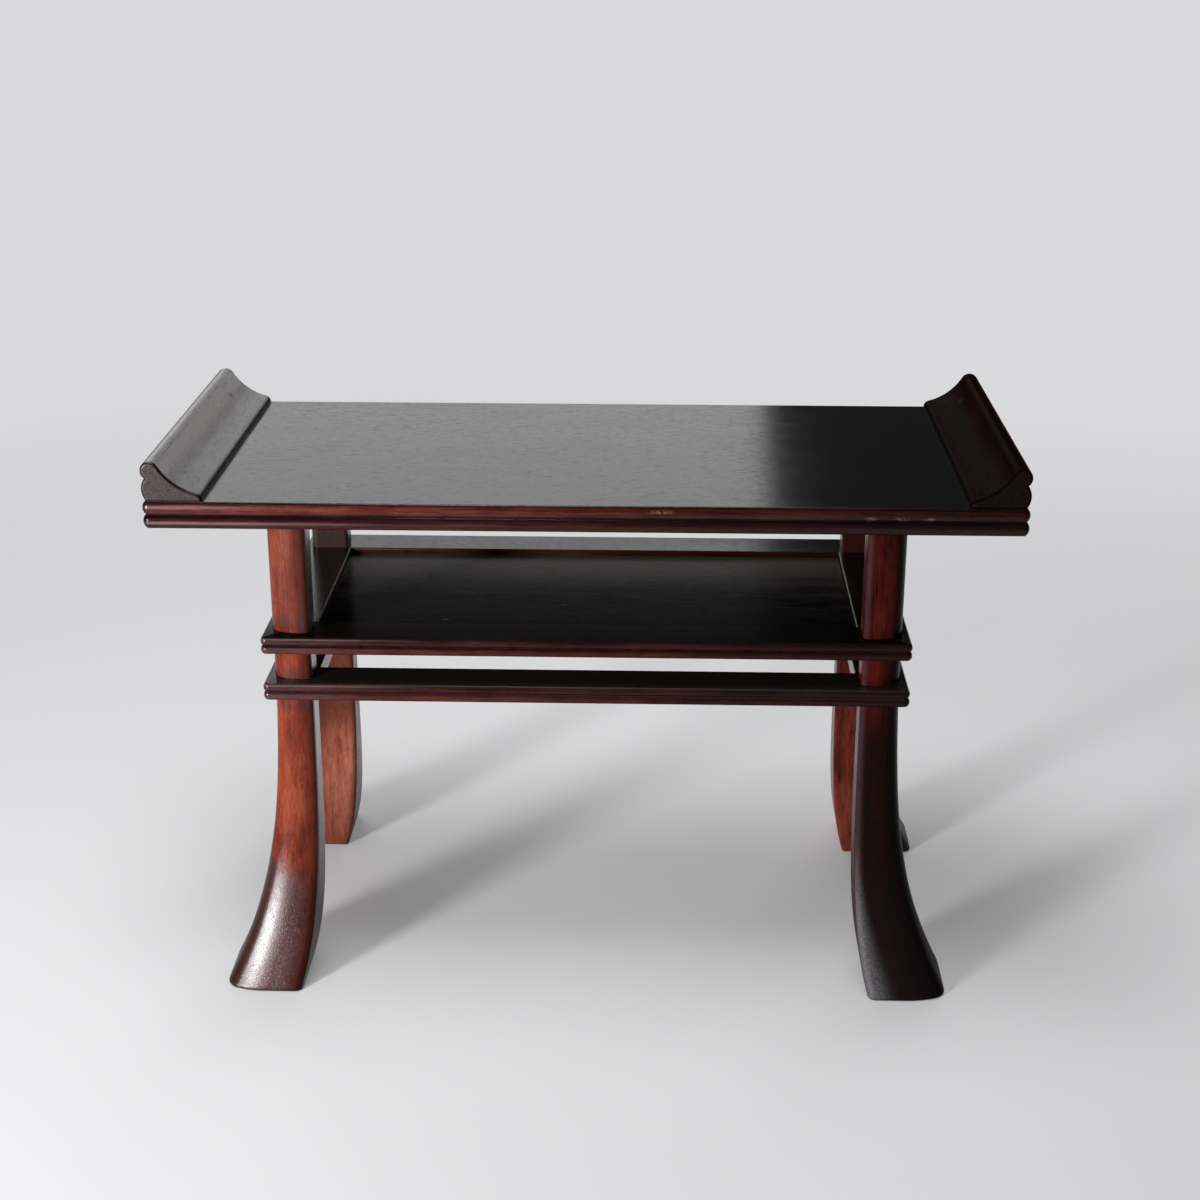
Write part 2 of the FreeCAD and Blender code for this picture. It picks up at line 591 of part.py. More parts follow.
def make_panel():
    """The floating panel of the shelf."""
    half_x, half_y = f"({OPENING_X} - Sizes.panel_gap)", f"({OPENING_Y} - Sizes.panel_gap)"
    field = box(
        "panel_field",
        (f"-1 * {half_x}", half_x),
        (f"-1 * {half_y}", half_y),
        (f"{PANEL_TOP} - Sizes.panel_thickness", PANEL_TOP),
    )
    return joined("Part::Fuse", "shelf_panel", field, panel_tongue("panel_rim"))


def make_board(housing, dowel_holes):
    """The plank, with housings for the scroll ends, dowel holes and blind mortises for the legs."""
    slab = reeded_slab("board", BOARD_END, BOARD_EDGE, BOARD_BOTTOM, BOARD_TOP, "Sizes.board_reed")
    mortise = leg_tenon("right_leg_mortise", "Sizes.joint_clearance", "Sizes.joint_bottom")
    behind = mirrored("rear_right_leg_mortise", mortise, (0, 1, 0))
    right = group("board_cuts_right", [housing, dowel_holes, mortise, behind])
    left = mirrored("board_cuts_left", right, (1, 0, 0))
    return joined("Part::Cut", "top_board", slab, group("board_cuts", [right, left]))


def four_corners(what, front_right):
    """A piece of the front right corner and its three mirror images."""
    front_left = mirrored(f"front_left_{what}", front_right, (1, 0, 0))
    rear_right = mirrored(f"rear_right_{what}", front_right, (0, 1, 0))
    rear_left = mirrored(f"rear_left_{what}", front_left, (0, 1, 0))
    return [front_right, front_left, rear_right, rear_left]


def make_all():
    """Every piece of the table."""
    dowels, dowel_holes = make_dowels()
    scroll_end, housing = make_scroll_end(dowel_holes)
    wedges = make_wedges()
    leg_slots = make_leg_slots()
    groove = panel_tongue("panel_groove", "Sizes.panel_gap")
    pieces = [make_board(housing, dowel_holes), make_panel()]
    for what, piece in (("scroll_end", scroll_end), ("scroll_dowels", dowels)):
        pieces += [piece, mirrored(f"left_{what}", piece, (1, 0, 0))]
    pieces += four_corners("leg", make_leg(wedges))
    pieces += four_corners("leg_wedges", wedges)
    pieces += make_frame("shelf", SHELF_BOTTOM, "Sizes.shelf_height", leg_slots, groove)
    pieces += make_frame("lower", LOWER_BOTTOM, LOWER_TOP, leg_slots)
    return pieces


def check_and_write(pieces):
    """Stops on any failed object or bad shape, then writes one file per piece."""
    doc.recompute()
    for item in doc.Objects:
        if "Invalid" in item.State or "Error" in item.State:
            raise RuntimeError(f"{item.Label} failed: {item.State}")
    for piece in pieces:
        if piece.Shape.isNull() or not piece.Shape.isValid() or not piece.Shape.Solids:
            raise RuntimeError(f"{piece.Label} has no valid solid")
    for piece in pieces:
        piece.Shape.exportStep(f"parts/{piece.Label}.step")
        volume = sum(solid.Volume for solid in piece.Shape.Solids)
        print(f"{piece.Label}: {len(piece.Shape.Solids)} solid(s), {volume / 1000:.2f} cm3")


check_and_write(make_all())
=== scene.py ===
"""The looks of a polished rosewood display table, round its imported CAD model.

Lengths are in metres, in the CAD's own frame: +X along the plank, +Y to the back, +Z up, origin on the
floor. Every wood is procedural and solid: its figure runs through the piece along that piece's grain.
"""

import json
import math
from dataclasses import dataclass

import bmesh
import bpy
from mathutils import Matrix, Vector

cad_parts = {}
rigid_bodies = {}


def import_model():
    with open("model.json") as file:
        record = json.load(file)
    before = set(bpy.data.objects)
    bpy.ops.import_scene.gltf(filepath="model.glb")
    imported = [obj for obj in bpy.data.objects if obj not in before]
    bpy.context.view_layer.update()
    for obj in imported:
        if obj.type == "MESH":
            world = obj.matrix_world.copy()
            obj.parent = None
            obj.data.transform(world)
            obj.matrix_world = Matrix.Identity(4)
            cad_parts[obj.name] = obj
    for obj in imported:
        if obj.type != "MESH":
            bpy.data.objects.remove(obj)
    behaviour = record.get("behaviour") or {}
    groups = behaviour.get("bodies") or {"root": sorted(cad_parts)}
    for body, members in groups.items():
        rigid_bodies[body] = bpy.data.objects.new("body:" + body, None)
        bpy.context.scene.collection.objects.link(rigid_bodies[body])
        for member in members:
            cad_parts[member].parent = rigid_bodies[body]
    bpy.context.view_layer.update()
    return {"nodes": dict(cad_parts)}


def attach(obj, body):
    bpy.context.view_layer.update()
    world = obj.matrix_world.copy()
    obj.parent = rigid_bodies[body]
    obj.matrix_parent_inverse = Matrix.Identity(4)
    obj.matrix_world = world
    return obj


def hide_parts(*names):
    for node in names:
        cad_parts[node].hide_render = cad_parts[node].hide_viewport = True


# The start-up objects go first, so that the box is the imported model's alone
for item in list(bpy.data.objects):
    bpy.data.objects.remove(item)
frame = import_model()

# Camera, fitted to the photo's straight edges: place, angles in degrees, lens and sensor in millimetres
CAMERA_PLACE = (0.0494, -1.4229, 0.7925)
CAMERA_TILT = 69.309
CAMERA_TURN = 1.700
CAMERA_LENS = 60.53
CAMERA_SENSOR = 36.0

# Heights on the table
PLANK_TOP = 0.372
PLANK_UPPER_REED = 0.3684
PLANK_NICK_HEIGHT = 0.3648
PLANK_GROOVE = 0.3625
PLANK_LOWER_REED = 0.3574
SHELF_TOP = 0.2665
SHELF_GROOVE = 0.2603
LOWER_TOP = 0.2313
LOWER_GROOVE = 0.2251
FOOT_SWEEP_TOP = 0.2189

# Places along and across the table
PLANK_PALE_END = -0.295
OPENING_SIDE = 0.1927
OPENING_FRONT = 0.081
SCROLL_END = 0.1301
SCROLL_ROUNDING = 0.002

# Inner and outer faces of the legs, and how far and by which power of the run they sweep outwards
LEG_INNER_FACE = 0.1952
LEG_INNER_SWEEP = 0.012
LEG_INNER_POWER = 5.5
LEG_OUTER_FACE = 0.2236
LEG_OUTER_FLARE = 0.006
LEG_OUTER_SWEEP = 0.0354
LEG_OUTER_POWER = 3.2

# Heights between which a leg's shade sets in, from none of it to all of it
ABOVE_SHELF = (SHELF_TOP - 0.01, SHELF_TOP)
FRONT_LEFT_RISE = (SHELF_TOP, SHELF_TOP + 0.03)
FRONT_LEFT_FALL = (0.1, 0.06)
DARK_FOOT_FALL = (0.084, 0.064)
REAR_LEFT_RISE = (0.078, 0.132)
REAR_LEFT_FALL = (0.1, 0.03)
FRONT_RIGHT_FALL = (0.245, 0.18)
FRONT_RIGHT_FOOT_FALL = (0.12, 0.05)
REAR_RIGHT_RISE = (0.1, 0.15)

# How much of a face's normal points up or sideways, from not counted to fully counted as such a face
UPWARD = (0.3, 0.75)
SIDEWARD = (0.75, 0.9)

# Nicks on the plank's front edge: x, height and reach along the edge, and their reach up and down
PLANK_NICKS = (
    (0.052, 0.3682, 0.012),
    (0.193, PLANK_NICK_HEIGHT, 0.0055),
    (0.214, PLANK_NICK_HEIGHT, 0.0065),
    (0.233, PLANK_NICK_HEIGHT, 0.0045),
)
PLANK_NICK_RISE = 0.0019

# Nick on each scroll end: how far out and back it is, and its reach both ways
SCROLL_NICK_X = 0.2815
SCROLL_NICK_Y = 0.088
SCROLL_NICK_WIDTH = 0.0024
SCROLL_NICK_LENGTH = 0.006

# Scratches on the panel: x and y, and their reach both ways
PANEL_SCRATCHES = ((-0.019, -0.03), (-0.103, -0.062))
SCRATCH_LENGTH = 0.004
SCRATCH_WIDTH = 0.0007

# Each piece's place in the log, by sines of its seed times these steps, and how far its grain drifts
LOG_STEPS = (12.9, 78.2, 37.7)
LOG_SPREAD = 2.0
GRAIN_DRIFT = 0.011

# Polish that all woods share: gloss of wood and pores, the change in roughness, and the wax
WOOD_GLOSS = 0.5
PORE_GLOSS = 0.15
SMOOTHEST = 0.85
ROUGHEST = 1.15
RUBBED_ROUGHNESS = 0.08
WAX_ROUGHNESS = 0.28
WAX_SHINE = 1.7

# Relief of the grain: its depth, and how high each part of it stands in that depth
RELIEF_DEPTH = 0.0003
STREAK_HEIGHT = 0.25
FIBRE_HEIGHT = 0.3
PORE_HEIGHT = -0.8
SKIN_HEIGHT = 0.4
WAX_HEIGHT = 0.9

# Tolerances for finding the scroll ends' arrises, and angles in degrees
SAME_POINT = 1e-6
SAME_END = 2e-4
SAME_HEIGHT = 1e-4
FLAT_ANGLE = 0.5
SHARP_ANGLE = 40.0


def srgb(red, green, blue):
    """A colour given in display values from 0 to 255, as a linear one."""
    linear = []
    for value in (red / 255, green / 255, blue / 255):
        linear.append(value / 12.92 if value <= 0.04045 else ((value + 0.055) / 1.055) ** 2.4)
    return (*linear, 1.0)


# Background, floor and surround
BACKGROUND = srgb(218, 218, 220)
FLOOR_PALE = srgb(240, 240, 242)
FLOOR_MIRRORED = srgb(160, 160, 162)
FLOOR_REACH = 30.0
SURROUND_COLOUR = (0.95, 0.97, 1.0, 1.0)
SURROUND_STRENGTH = 0.035

# Dark, body and light tones of each wood
FRONT_LEFT_TONES = (srgb(86, 26, 13), srgb(140, 54, 29), srgb(164, 80, 48))
REAR_LEFT_TONES = (srgb(136, 64, 48), srgb(190, 110, 86), srgb(212, 138, 114))
# The front right leg's tones: a darker wood, and partly painted shade
FRONT_RIGHT_SHADED_TONES = (srgb(30, 8, 7), srgb(80, 22, 15), srgb(104, 34, 24))
REAR_RIGHT_TONES = (srgb(66, 22, 14), srgb(116, 48, 34), srgb(140, 66, 49))
PLANK_TONES = (srgb(58, 19, 17), srgb(94, 36, 33), srgb(116, 54, 49))
SCROLL_TONES = (srgb(44, 18, 16), srgb(74, 33, 30), srgb(94, 46, 42))
RAIL_TONES = (srgb(52, 19, 17), srgb(88, 37, 33), srgb(110, 55, 49))
PANEL_TONES = (srgb(20, 18, 17), srgb(40, 37, 36), srgb(60, 56, 54))
BARE_TONES = (srgb(90, 50, 36), srgb(140, 86, 62), srgb(168, 112, 84))

# Tones of pores and their share, of wear, and of painted shade on the legs' arrises and in the grooves
OPEN_PORE = srgb(14, 6, 5)
PORE_SHARE = 0.4
WORN_ARRIS = srgb(132, 88, 74)
LEG_ARRIS_SHADE = srgb(44, 15, 11)
GROOVE_SHADE = srgb(10, 6, 6)

# Tones of the plank
PLANK_RED_STREAK = srgb(160, 86, 80)
PLANK_DARK_STREAK = srgb(44, 9, 9)
PLANK_SHOULDER_SHADE = srgb(44, 15, 14)
PLANK_SHADED = srgb(32, 11, 10)
PLANK_LOWER = srgb(30, 14, 13)
PLANK_PALE_HIGHLIGHT = srgb(164, 132, 132)
PLANK_END_DARK_REFLECTION = srgb(14, 9, 9)
PLANK_TOP_LEFT = srgb(15, 11, 11)
PLANK_TOP_RIGHT_SHADE = srgb(5, 4, 4)
PLANK_NICK = srgb(160, 112, 104)

# Tones of the rails
RAIL_SHADED = srgb(24, 11, 10)
RAIL_LIT = srgb(104, 82, 82)
RAIL_UPPER_REED = srgb(28, 13, 12)
RAIL_CREST_HIGHLIGHT = srgb(150, 132, 130)
RAIL_OPENING_HIGHLIGHT = srgb(176, 168, 166)
SHELF_RAIL_TOP = srgb(20, 16, 15)
LOWER_RAIL_TOP = srgb(44, 36, 34)

# Tones of the scroll ends
# Painted sheen with some dust on the left scroll's upper face
LEFT_SHEEN_AND_DUST = srgb(88, 87, 88)
# Painted shade on the right scroll's upper face
RIGHT_UPPER_SHADE = srgb(4, 3, 3)
# A painted highlight on the left scroll's tip and cove
SHEEN_HIGHLIGHT = srgb(230, 226, 225)
LEFT_END_GRAIN = srgb(94, 80, 82)
# The right scroll's end grain, darkened with painted shade
RIGHT_END_GRAIN_SHADED = srgb(18, 12, 12)
END_GRAIN_SPECKLE = srgb(40, 27, 28)
SCROLL_NICK = srgb(46, 26, 23)
SCROLL_SHADE_LINE = srgb(8, 6, 6)

# Tones of the panel
PANEL_BACK_SHEEN = srgb(112, 107, 104)
PANEL_FRONT_SHADE = srgb(16, 14, 14)
PANEL_SCRATCH = srgb(150, 146, 142)

# Tones of the legs
LEG_SCUFF = srgb(78, 46, 48)
FRONT_LEFT_INNER_SHADE = srgb(66, 20, 13)
FRONT_LEFT_OUTER_SHADE = srgb(56, 18, 12)
FRONT_LEFT_LOW_SHADE = srgb(40, 12, 9)
FRONT_LEFT_UPPER_SHEEN = srgb(92, 56, 50)
FRONT_LEFT_INNER_REFLECTION = srgb(190, 172, 170)
DARK_FOOT = srgb(90, 52, 52)
DARK_FOOT_SPECKLE = srgb(50, 24, 25)
DARK_FOOT_OUTER_SHADE = srgb(26, 14, 15)
REAR_LEFT_SHADED = srgb(98, 44, 32)
REAR_LEFT_EDGE_SHADE = srgb(84, 34, 27)
REAR_LEFT_FOOT = srgb(96, 40, 30)
REAR_LEFT_UPPER_SHADE = srgb(50, 42, 41)
FRONT_RIGHT_LOWER = srgb(18, 10, 10)
FRONT_RIGHT_OUTER_SHADE = srgb(8, 4, 4)
FRONT_RIGHT_INNER_SHEEN = srgb(74, 52, 53)
FRONT_RIGHT_FOOT = srgb(28, 24, 25)
FRONT_RIGHT_SHEEN = srgb(122, 120, 124)
REAR_RIGHT_OUTER_SHADE = srgb(22, 11, 10)
REAR_RIGHT_SHADED = srgb(44, 20, 18)
REAR_RIGHT_UPPER_SHADE = srgb(44, 18, 18)


class Graph:
    """The node tree of one material."""

    def __init__(self, name):
        self.material = bpy.data.materials.new(name)
        self.material.use_nodes = True
        self.tree = self.material.node_tree
        self.tree.nodes.clear()

    def add(self, kind, inputs, **settings):
        """Adds a node with its settings, and sets or links its inputs by name or number."""
        made = self.tree.nodes.new(kind)
        for key, value in settings.items():
            setattr(made, key, value)
        for key, value in inputs.items():
            if isinstance(value, bpy.types.NodeSocket):
                self.tree.links.new(value, made.inputs[key])
            else:
                made.inputs[key].default_value = value
        return made

    def place(self):
        """The point on the surface, in the object's own coordinates."""
        return self.add("ShaderNodeTexCoord", {}).outputs["Object"]

    def normal(self):
        """The direction that the surface faces."""
        return self.add("ShaderNodeNewGeometry", {}).outputs["Normal"]

    def facing(self):
        """The three parts of the direction that the surface faces."""
        return self.split(self.normal())

    def math(self, operation, first, second=0.0):
        """One step of arithmetic."""
        return self.add("ShaderNodeMath", {0: first, 1: second}, operation=operation).outputs[0]

    def size(self, value):
        """The value without its sign."""
        return self.math("ABSOLUTE", value)

    def times(self, *factors):
        """The product of the factors."""
        product = factors[0]
        for factor in factors[1:]:
            product = self.math("MULTIPLY", product, factor)
        return product

    def plus(self, *terms):
        """The sum of the terms."""
        total = terms[0]
        for term in terms[1:]:
            total = self.math("ADD", total, term)
        return total

    def span(self, value, low, high, start=0.0, end=1.0):
        """Goes smoothly from start to end as the value goes from low to high."""
        inputs = {"Value": value, "From Min": low, "From Max": high, "To Min": start, "To Max": end}
        return self.add("ShaderNodeMapRange", inputs, interpolation_type="SMOOTHSTEP").outputs["Result"]

    def hump(self, value, middle, reach):
        """One at the middle, falling smoothly to zero at that reach to either side."""
        away = self.size(self.math("SUBTRACT", value, middle))
        return self.span(away, 0.0, reach, 1.0, 0.0)

    def mix(self, share, first, second):
        """The first colour, with that share of the second."""
        made = self.add("ShaderNodeMix", {0: share, 6: first, 7: second}, data_type="RGBA")
        return made.outputs[2]

    def tint(self, colour, tone, share, value, low, high):
        """Mixes a tone into a colour, none of it where the value is low, up to its share where it is high."""
        return self.mix(self.span(value, low, high, 0.0, share), colour, tone)

    def split(self, vector):
        """The three parts of a vector."""
        return self.add("ShaderNodeSeparateXYZ", {0: vector}).outputs[:3]

    def join(self, x, y, z):
        """A vector of three parts."""
        return self.add("ShaderNodeCombineXYZ", {0: x, 1: y, 2: z}).outputs[0]

    def noise(self, vector, scale, detail=3.0, roughness=0.55):
        """Noise from 0 to 1, of the same scale all ways."""
        inputs = {"Vector": vector, "Scale": scale, "Detail": detail, "Roughness": roughness}
        return self.add("ShaderNodeTexNoise", inputs).outputs["Fac"]

    def grain_noise(self, log, along, across, detail, roughness=0.55):
        """Noise in a log's coordinates, whose first axis is the grain, scaled along and across it."""
        inputs = {0: log, 1: (along, across, across)}
        stretched = self.add("ShaderNodeVectorMath", inputs, operation="MULTIPLY").outputs[0]
        return self.noise(stretched, 1.0, detail, roughness)

    def ramp(self, share, stops):
        """A colour that runs through the stops, each a place from 0 to 1 and its colour."""
        made = self.add("ShaderNodeValToRGB", {0: share})
        ramp = made.color_ramp
        for _ in range(len(stops) - 2):
            ramp.elements.new(0.5)
        for element, (place, colour) in zip(ramp.elements, stops):
            element.position = place
            element.color = colour
        return made.outputs[0]


@dataclass
class Finish:
    """How a wood is polished and worn.

    Rough is its roughness, shine its index of refraction, relief the strength of its grain's relief,
    dull_pores the roughness that pores add, arris the rounding of its edges, and rubbed the share of
    wear_and_shade_colour on them. Waxed and dulled, if given, are functions of the graph and the place: the weight
    of a coat, and a factor on the gloss.
    """

    rough: float
    shine: float = 1.45
    relief: float = 0.2
    dull_pores: float = 0.09
    arris: float = 0.0011
    rubbed: float = 0.3
    # Pale wear on most woods, painted shade on the legs' arrises
    wear_and_shade_colour: tuple = WORN_ARRIS
    waxed: object = None
    dulled: object = None


def log_coordinates(graph, place, grain, seed):
    """Coordinates whose first axis is the grain, shifted so that each piece is cut from its own place."""
    x, y, z = graph.split(place)
    axes = {"x": (x, y, z), "y": (y, x, z), "z": (z, x, y)}[grain]
    along, side, depth = (
        graph.plus(axis, LOG_SPREAD * math.sin(seed * step)) for axis, step in zip(axes, LOG_STEPS)
    )
    wander = graph.grain_noise(graph.join(along, side, depth), along=5.0, across=22.0, detail=2.0)
    drift = graph.times(graph.plus(wander, -0.5), GRAIN_DRIFT)
    return graph.join(along, graph.plus(side, drift), graph.plus(depth, drift))


def wood_figure(graph, log):
    """Growth bands, streaks, clouds, fine fibres and open pores, each from 0 to 1."""
    growth = graph.grain_noise(log, along=1.6, across=150.0, detail=3.0, roughness=0.6)
    streaks = graph.grain_noise(log, along=18.0, across=620.0, detail=5.0, roughness=0.65)
    clouds = graph.grain_noise(log, along=20.0, across=60.0, detail=5.0, roughness=0.65)
    fibres = graph.grain_noise(log, along=60.0, across=2200.0, detail=3.0, roughness=0.6)
    hollows = graph.grain_noise(log, along=130.0, across=1500.0, detail=1.0)
    pores = graph.span(hollows, 0.6, 0.7)
    return growth, streaks, clouds, fibres, pores


def figured_colour(graph, growth, streaks, clouds, fibres, tones):
    """The wood's colour from its figure, of which clouds and streaks make the most."""
    figure = graph.plus(
        graph.times(graph.span(growth, 0.3, 0.7), 0.16),
        graph.times(graph.span(streaks, 0.32, 0.68), 0.28),
        graph.times(graph.span(clouds, 0.34, 0.66), 0.46),
        graph.times(fibres, 0.1),
    )
    dark, body, light = tones
    return graph.ramp(figure, [(0.12, dark), (0.5, body), (0.88, light)])


def rubbed_arrises(graph, place, arris):
    """The normal with rounded arrises, and the patches along them that are rubbed, which on the legs take
    painted shade.
    """
    rounded = graph.add("ShaderNodeBevel", {"Radius": arris}, samples=4).outputs[0]
    normals = {0: rounded, 1: graph.normal()}
    turned = graph.add("ShaderNodeVectorMath", normals, operation="DOT_PRODUCT").outputs["Value"]
    patches = graph.span(graph.noise(place, 160.0, 3.0), 0.3, 0.6)
    return rounded, graph.times(graph.span(turned, 1.0, 0.84), patches)


def rosewood(name, grain, tones, seed, finish, dress=None):
    """A polished rosewood. Tones are its dark, body and light colours. Dress changes the colour by place."""
    graph = Graph(name)
    place = graph.place()
    log = log_coordinates(graph, place, grain, seed)
    growth, streaks, clouds, fibres, pores = wood_figure(graph, log)
    colour = figured_colour(graph, growth, streaks, clouds, fibres, tones)
    if dress is not None:
        colour = dress(graph, place, colour)
    colour = graph.mix(graph.times(pores, PORE_SHARE), colour, OPEN_PORE)
    rounded, rubbed = rubbed_arrises(graph, place, finish.arris)
    # The arrises take pale wear on most woods and painted shade on the legs
    colour = graph.mix(graph.times(rubbed, finish.rubbed), colour, finish.wear_and_shade_colour)
    roughness = graph.plus(
        graph.span(clouds, 0.3, 0.75, finish.rough * SMOOTHEST, finish.rough * ROUGHEST),
        graph.times(pores, finish.dull_pores),
        graph.times(rubbed, RUBBED_ROUGHNESS),
    )
    gloss = graph.span(pores, 0.0, 1.0, WOOD_GLOSS, PORE_GLOSS)
    if finish.dulled is not None:
        gloss = graph.times(gloss, finish.dulled(graph, place))
    waxed = 0.0 if finish.waxed is None else finish.waxed(graph, place)
    skin_height = graph.plus(graph.times(waxed, WAX_HEIGHT), SKIN_HEIGHT)
    height = graph.plus(
        graph.times(streaks, STREAK_HEIGHT),
        graph.times(fibres, FIBRE_HEIGHT),
        graph.times(graph.noise(place, 1500.0, 2.0), skin_height),
        graph.times(pores, PORE_HEIGHT),
    )
    relief = {"Strength": finish.relief, "Distance": RELIEF_DEPTH, "Height": height, "Normal": rounded}
    bumped = graph.add("ShaderNodeBump", relief).outputs[0]
    surface = {"Base Color": colour, "Roughness": roughness, "Normal": bumped, "IOR": finish.shine}
    surface["Specular IOR Level"] = gloss
    if finish.waxed is not None:
        surface["Coat Weight"] = waxed
        surface["Coat Normal"] = bumped
        surface["Coat Roughness"] = WAX_ROUGHNESS
        surface["Coat IOR"] = WAX_SHINE
    shader = graph.add("ShaderNodeBsdfPrincipled", surface)
    graph.add("ShaderNodeOutputMaterial", {"Surface": shader.outputs[0]})
    return graph.material


def plank_edge(graph, x, z, colour):
    """The reeds: painted shade to the right, on the shoulder and in the groove, a darker lower reed, painted
    light at left.
    """
    # Painted shade along the upper reed's shoulder, below the top arris
    colour = graph.tint(colour, PLANK_SHOULDER_SHADE, 0.65, z, PLANK_TOP - 0.0026, PLANK_TOP - 0.0006)
    # Painted shade towards the right end
    colour = graph.tint(colour, PLANK_SHADED, 0.9, x, -0.28, 0.3)
    colour = graph.tint(colour, PLANK_LOWER, 0.5, z, PLANK_GROOVE + 0.001, PLANK_GROOVE - 0.003)
    # Painted shade in the groove between the reeds, deepest at the left
    depth = graph.span(x, -0.29, -0.1, 0.86, 0.6)
    groove = graph.times(graph.hump(z, PLANK_GROOVE - 0.0012, 0.0038), depth)
    colour = graph.mix(groove, colour, GROOVE_SHADE)
    # Painted highlights along both reeds towards the left end
    for reed, length in ((PLANK_LOWER_REED, 0.2), (PLANK_UPPER_REED, 0.12)):
        along = graph.span(x, PLANK_PALE_END + length, PLANK_PALE_END)
        pale = graph.times(along, graph.hump(z, reed, 0.0018), 0.55)
        colour = graph.mix(pale, colour, PLANK_PALE_HIGHLIGHT)
    # A painted dark reflection on the rounded left end
    return graph.tint(colour, PLANK_END_DARK_REFLECTION, 0.85, x, -0.2962, -0.2982)


def plank_dress(graph, place, colour):
    """A streaked, reeded edge with a few nicks in front, and a near black top with painted shade to the
    right.
    """
    x, y, z = graph.split(place)
    streak = graph.grain_noise(place, along=26.0, across=700.0, detail=4.0, roughness=0.7)
    colour = graph.tint(colour, PLANK_RED_STREAK, 0.4, streak, 0.5, 0.68)
    colour = graph.tint(colour, PLANK_DARK_STREAK, 0.7, streak, 0.5, 0.32)
    colour = plank_edge(graph, x, z, colour)
    # Near black on top, and darker still to the right with painted shade
    top_colour = graph.mix(graph.span(x, 0.0, 0.2), PLANK_TOP_LEFT, PLANK_TOP_RIGHT_SHADE)
    colour = graph.tint(colour, top_colour, 0.96, graph.facing()[2], *UPWARD)
    chipped = graph.span(graph.noise(place, 500.0, 2.0), 0.34, 0.56)
    in_front = graph.span(y, -0.12, -0.14)
    for nick_x, nick_z, reach in PLANK_NICKS:
        spot = graph.times(graph.hump(x, nick_x, reach), graph.hump(z, nick_z, PLANK_NICK_RISE))
        nick = graph.times(spot, chipped, in_front)
        colour = graph.mix(nick, colour, PLANK_NICK)
    return colour


def rail_dress(groove, top_colour):
    """Dark tops, a darker upper reed, painted shade in grooves and to the right, painted highlights left and
    by the opening.
    """

    def dress(graph, place, colour):
        x, y, z = graph.split(place)
        # Painted shade towards the right, and painted light towards the left end
        colour = graph.tint(colour, RAIL_SHADED, 0.85, x, -0.22, 0.24)
        colour = graph.tint(colour, RAIL_LIT, 0.5, x, -0.13, -0.24)
        colour = graph.tint(colour, RAIL_UPPER_REED, 0.4, z, groove - 0.001, groove + 0.001)
        # Painted shade in the groove between the reeds
        colour = graph.mix(graph.times(graph.hump(z, groove, 0.0021), 0.92), colour, GROOVE_SHADE)
        colour = graph.tint(colour, top_colour, 0.95, graph.facing()[2], *UPWARD)
        # A painted highlight along the upper reed's ridge towards the left end
        crest_highlight = graph.times(graph.hump(z, groove + 0.005, 0.0008), graph.span(x, -0.1, -0.2), 0.45)
        colour = graph.mix(crest_highlight, colour, RAIL_CREST_HIGHLIGHT)
        # A painted highlight along the arris beside the opening
        beside = graph.hump(graph.size(x), OPENING_SIDE, 0.0011)
        along = graph.span(graph.size(y), OPENING_FRONT, OPENING_FRONT - 0.002)
        worn = graph.times(beside, along, graph.span(z, groove + 0.004, groove + 0.006), 0.8)
        return graph.mix(worn, colour, RAIL_OPENING_HIGHLIGHT)

    return dress


def scroll_dress(side, end_colour, upper_share, upper_colour, highlight_share):
    """Top painted with sheen and some dust at the left and with shade at the right, speckled end grain, and
    painted dark lines.
    """

    def dress(graph, place, colour):
        x, y, z = graph.split(place)
        normal_x, _, normal_z = graph.facing()
        inward = graph.times(normal_x, -side)
        # The upper face takes a painted sheen with some dust on the left scroll and painted shade on the
        # right one
        upper_face = graph.span(graph.plus(normal_z, inward), 0.1, 0.7)
        # Painted highlights at the tip and in the cove, on the left scroll only
        lip = graph.span(inward, 0.3, -0.1, 0.0, 0.42)
        cove = graph.span(inward, 0.6, 0.85, 0.0, 0.55)
        painted_highlight = graph.times(graph.plus(lip, cove), highlight_share)
        dust_and_painted_light = graph.mix(painted_highlight, upper_colour, SHEEN_HIGHLIGHT)
        colour = graph.mix(graph.times(upper_face, upper_share), colour, dust_and_painted_light)
        nick = graph.times(
            graph.hump(x, side * SCROLL_NICK_X, SCROLL_NICK_WIDTH),
            graph.hump(y, SCROLL_NICK_Y, SCROLL_NICK_LENGTH),
            0.9,
        )
        colour = graph.mix(nick, colour, SCROLL_NICK)
        # A painted dark reflection along the rounded arris round each end face
        outward = graph.size(y)
        arris = SCROLL_END - SCROLL_ROUNDING
        colour = graph.tint(colour, SCROLL_SHADE_LINE, 0.95, outward, arris, arris + 0.3 * SCROLL_ROUNDING)
        speckle = graph.span(graph.noise(place, 900.0, 3.0, 0.7), 0.35, 0.65)
        end_grain = graph.mix(speckle, end_colour, END_GRAIN_SPECKLE)
        end_face = graph.times(
            graph.span(outward, SCROLL_END - 0.0002, SCROLL_END - 0.00004),
            graph.span(z, PLANK_TOP + 0.0008, PLANK_TOP + 0.0014),
        )
        colour = graph.mix(end_face, colour, end_grain)
        # Painted shade on the toe where it meets the plank
        toe = graph.times(
            graph.span(inward, 0.5, 0.8),
            graph.span(z, PLANK_TOP + 0.0065, PLANK_TOP + 0.0045),
            0.95,
        )
        return graph.mix(toe, colour, SCROLL_SHADE_LINE)

    return dress


